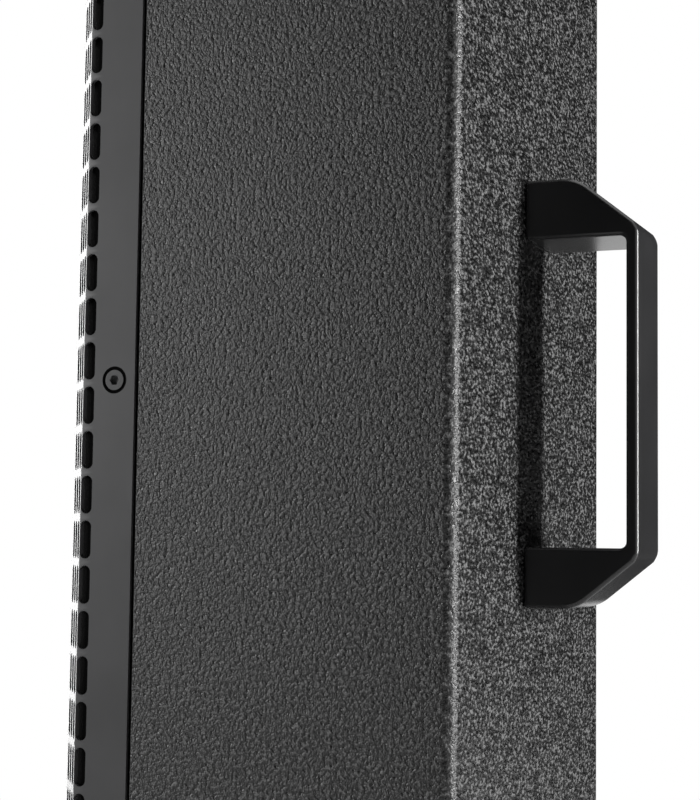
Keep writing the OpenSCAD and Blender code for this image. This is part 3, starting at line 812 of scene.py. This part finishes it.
def makeFeet():
    low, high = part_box("rubber_feet")
    feet = []
    for x, y in footPlaces():
        piece = upright(foot["bottom"], x, y, low.z, high.z, radius2=foot["top"])
        pick(piece, "edges", lambda a, b: max(a.z, b.z) < low.z + 0.1 * mm)
        bpy.ops.mesh.bevel(offset=foot["edge"], segments=3)
        bpy.ops.object.mode_set(mode="OBJECT")
        cutAway(piece, upright(foot["seat"], x, y, low.z - past, low.z + foot["seatDepth"]))
        cutAway(piece, upright(foot["hole"], x, y, low.z - past, high.z + past, sides=24))
        feet.append(piece)
    finishPiece(joinAll(feet), "rubberFeet", rubberMaterial, "rubber", "rubber_feet", smooth=40, flat=True)


makeFeet()
print("feet made")


connector = {
    "corner": 5 * mm,
    "edge": 0.4 * mm,
    "bore": 12.3 * mm,
    "boltHole": 2.1 * mm,
    "boltX": 49 * mm,
    "boltZ": 36 * mm,
    "pitch": 44 * mm,          # between the two sockets
}


def makeConnectorPlate():
    c = connector
    low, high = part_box("connector_plate")
    plate = boxPiece("plate", low, high, rounded=c["corner"])
    middle = (low.z + high.z) / 2
    front, back = low.y - past, high.y + past
    for side in (-1, 1):
        x = side * c["pitch"] / 2
        cutAway(plate, rod(c["bore"], (x, front, middle), (x, back, middle), "Y", sides=64))
        for rise in (-c["boltZ"], c["boltZ"]):
            x, z = side * c["boltX"], middle + rise
            cutAway(plate, rod(c["boltHole"], (x, front, z), (x, back, z), "Y", sides=24))
    bevelEdges(plate, c["edge"])
    finishPiece(plate, "connectorPlate", powderMaterial, "black_steel", "connector_plate",
                smooth=35, flat=True)


makeConnectorPlate()
print("connector plate made")


socket = {
    "flange": (28 * mm, 32 * mm, 2.5 * mm),
    "corner": 3 * mm,
    "barrel": 12 * mm,         # radii of barrel and bore
    "bore": 10 * mm,
    "back": 24 * mm,           # length behind the flange
    "boreDepth": 18 * mm,
    "keyway": (3 * mm, 0.9 * mm),
    "keywayDepth": 8 * mm,     # behind the flange
    "keywayOut": 0.1 * mm,     # its middle lies this far outside the bore
    "contact": (3 * mm, 1.2 * mm),
    "contactOut": 6 * mm,      # from the middle of the bore
    "contactDepth": 3 * mm,
    "edge": 0.45 * mm,
}


def makeSocket(name, node):  # flange and barrel, a bore with two keyways, four contact slots in its floor
    s = socket
    low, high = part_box(node)
    x, z = (low.x + high.x) / 2, (low.z + high.z) / 2
    face = high.y
    base = face - s["flange"][2]
    flange = boxPiece("flange", (x - s["flange"][0] / 2, base, z - s["flange"][1] / 2),
                      (x + s["flange"][0] / 2, face, z + s["flange"][1] / 2), rounded=s["corner"])
    addOn(flange, rod(s["barrel"], (x, base - s["back"], z), (x, base + past, z), "Y", sides=64))
    floor = base - s["boreDepth"]
    cutAway(flange, rod(s["bore"], (x, floor, z), (x, face + past, z), "Y", sides=64))
    keyway = (s["bore"] + s["keywayOut"], s["keyway"], (base - s["keywayDepth"], face + past))
    contact = (s["contactOut"], s["contact"], (floor - s["contactDepth"], floor + past))
    for turn in (0, 90, 180, 270):
        angle = math.radians(turn + 45)
        for reach, size, depth in (keyway, contact) if turn in (0, 180) else (contact,):
            cutter = boxPiece("cutter", (reach - size[0] / 2, depth[0], -size[1] / 2),
                              (reach + size[0] / 2, depth[1], size[1] / 2))
            cutter.data.transform(Matrix.Rotation(angle, 4, "Y"))
            cutter.data.transform(Matrix.Translation((x, 0, z)))
            cutAway(flange, cutter)
    bevelEdges(flange, s["edge"], angle=60)
    finishPiece(flange, name, socketMaterial, "black_plastic", node, smooth=35, flat=True)


makeSocket("socketIn", "socket_in")
makeSocket("socketOut", "socket_out")
print("sockets made")


polePart = {
    "flange": 38 * mm,
    "flangeThick": 3 * mm,
    "tube": 21 * mm,
    "bore": 17.8 * mm,
    "closed": 3 * mm,          # thickness of the closed end
    "lead": 1.2 * mm,          # chamfer at the mouth
    "boltHole": 2.1 * mm,
    "boltDepth": 5 * mm,
    "edge": 0.5 * mm,
}


def makePoleSocket():
    p = polePart
    low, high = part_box("pole_socket")
    y = pole["y"]
    piece = upright(p["flange"], 0, y, low.z, low.z + p["flangeThick"], sides=96)
    addOn(piece, upright(p["tube"], 0, y, low.z + past, high.z, sides=64))
    cutAway(piece, upright(p["bore"], 0, y, low.z - past, high.z - p["closed"], sides=64))
    cutAway(piece, upright(p["bore"] + 2 * p["lead"], 0, y, low.z - p["lead"], low.z + p["lead"], sides=64,
                           radius2=p["bore"]))
    for x, y in boltPlaces():
        cutAway(piece, upright(p["boltHole"], x, y, low.z - past, low.z + p["boltDepth"], sides=24))
    bevelEdges(piece, p["edge"])
    finishPiece(piece, "poleSocket", blackSteelMaterial, "black_steel", "pole_socket", smooth=35, flat=True)


makePoleSocket()
print("pole socket made")


camera = {
    "place": (0.6916, 0.26445, 0.3041),
    "turn": 90 + 22.47,      # degrees about Z, from looking along +Y
    "pitch": 4.66,
    "roll": 0.72,
    "focus": 1774.7,         # focal length in pixels, on a picture 800 pixels high
    "pictureHeight": 800,
    "sensor": 36,
}


def makeCamera():
    c = camera
    data = bpy.data.cameras.new("camera")
    data.sensor_width = c["sensor"]
    data.lens = c["sensor"] * c["focus"] / c["pictureHeight"]
    data.clip_start = 0.01
    made = bpy.data.objects.new("camera", data)
    scene.collection.objects.link(made)
    aim = Euler((math.radians(90 + c["pitch"]), 0, math.radians(c["turn"]))).to_matrix()
    aim @= Matrix.Rotation(math.radians(c["roll"]), 3, "Z")
    made.matrix_world = Matrix.Translation(c["place"]) @ aim.to_4x4()
    scene.camera = made


lamps = {   # direction about Z and distance, height, size across and up, power
    "rearStrip": (101, 1.8, 0.42, (0.24, 1.2), 68),
    "sideBox": (-50, 1.6, 0.65, (0.4, 0.6), 12),
    "frontKick": (227, 1.7, 0.55, (0.7, 1.3), 20),
    "frontBox": (262, 1.9, 0.9, (1.0, 1.1), 12),
    "topBox": (60, 0.3, 2.1, (1.2, 1.2), 6),
}

darkCards = {   # seen only in reflections: direction about Z, distance, width, height
    "cardBehindHandle": (150, 1.5, 2.0, 2.4),
    "cardBehindCamera": (4, 1.5, 2.3, 2.4),
    "cardLow": (165, 0.62, 0.33, 1.0),
}
cardBottom = -0.1

studio = {
    "softLight": 0.08,         # strength of the world for all but direct views and reflections
    "floorRadius": 1.3,
    "floorFade": (0.35, 1.15),  # the floor turns into the white background between these distances
}


def aroundPlace(turn, distance, height):
    angle = math.radians(turn)
    return Vector((distance * math.cos(angle), distance * math.sin(angle), height))


def makeLamps():
    for name, (turn, distance, height, size, power) in lamps.items():
        data = bpy.data.lights.new(name, "AREA")
        data.shape = "RECTANGLE"
        data.size, data.size_y = size
        data.energy = power
        lamp = bpy.data.objects.new(name, data)
        scene.collection.objects.link(lamp)
        lamp.location = aroundPlace(turn, distance, height)
        aim = Vector((0, 0, midHeight)) - lamp.location
        lamp.rotation_euler = aim.to_track_quat("-Z", "Y").to_euler()


def anyOf(material, path, *names):  # 1 where one of the named kinds of ray looks
    seen = path.outputs[names[0]]
    for name in names[1:]:
        larger = addNode(material, "ShaderNodeMath", {0: seen, 1: path.outputs[name]}, operation="MAXIMUM")
        seen = larger.outputs[0]
    return seen


def makeDarkCards():
    material, shader = newMaterial("blackCard", (0.004, 0.004, 0.004), 1.0, specular=0.0)
    path = addNode(material, "ShaderNodeLightPath")
    clear = addNode(material, "ShaderNodeBsdfTransparent")
    mix = addNode(material, "ShaderNodeMixShader", {
        0: anyOf(material, path, "Is Camera Ray", "Is Shadow Ray"),
        1: shader.outputs[0], 2: clear.outputs[0]})
    output = material.node_tree.nodes["Material Output"]
    material.node_tree.links.new(mix.outputs[0], output.inputs["Surface"])
    for name, (turn, distance, width, height) in darkCards.items():
        deselectAll()
        bpy.ops.mesh.primitive_plane_add(
            size=1, location=aroundPlace(turn, distance, height / 2 + cardBottom),
            rotation=(math.pi / 2, 0, math.radians(turn - 90)))
        card = startPiece(name)
        card.scale = (width, height, 1)
        applyPlace(card)
        card.data.materials.append(material)


def makeWorld():
    world = bpy.data.worlds.new("studio")
    scene.world = world
    world.use_nodes = True
    tree = world.node_tree
    soft = tree.nodes["Background"]
    soft.inputs["Color"].default_value = (1, 1, 1, 1)
    soft.inputs["Strength"].default_value = studio["softLight"]
    white = addNode(world, "ShaderNodeBackground", Color=(1, 1, 1, 1), Strength=1)
    path = addNode(world, "ShaderNodeLightPath")
    mix = addNode(world, "ShaderNodeMixShader", {
        0: anyOf(world, path, "Is Camera Ray", "Is Glossy Ray", "Is Transmission Ray"),
        1: soft.outputs[0], 2: white.outputs[0]})
    tree.links.new(mix.outputs[0], tree.nodes["World Output"].inputs["Surface"])


def makeFloor():  # keeps the object's shadow and fades into the white round it
    deselectAll()
    bpy.ops.mesh.primitive_circle_add(
        vertices=96, radius=studio["floorRadius"], fill_type="NGON", location=(0, 0, 0))
    floor = startPiece("floor")
    material, shader = newMaterial("floorPaper", (0.86, 0.86, 0.86), 0.8, specular=0.1)
    tree = material.node_tree
    glow = addNode(material, "ShaderNodeEmission")
    place = addNode(material, "ShaderNodeTexCoord")
    length = addNode(material, "ShaderNodeVectorMath", {0: place.outputs["Object"]}, operation="LENGTH")
    fade = addNode(material, "ShaderNodeMapRange", {"Value": length.outputs["Value"]})
    fade.inputs["From Min"].default_value, fade.inputs["From Max"].default_value = studio["floorFade"]
    mix = addNode(material, "ShaderNodeMixShader", {
        0: fade.outputs["Result"], 1: shader.outputs[0], 2: glow.outputs[0]})
    tree.links.new(mix.outputs[0], tree.nodes["Material Output"].inputs["Surface"])
    floor.data.materials.append(material)


makeCamera()
makeLamps()
makeDarkCards()
makeWorld()
makeFloor()
scene.view_settings.view_transform = "Standard"
print("studio made")
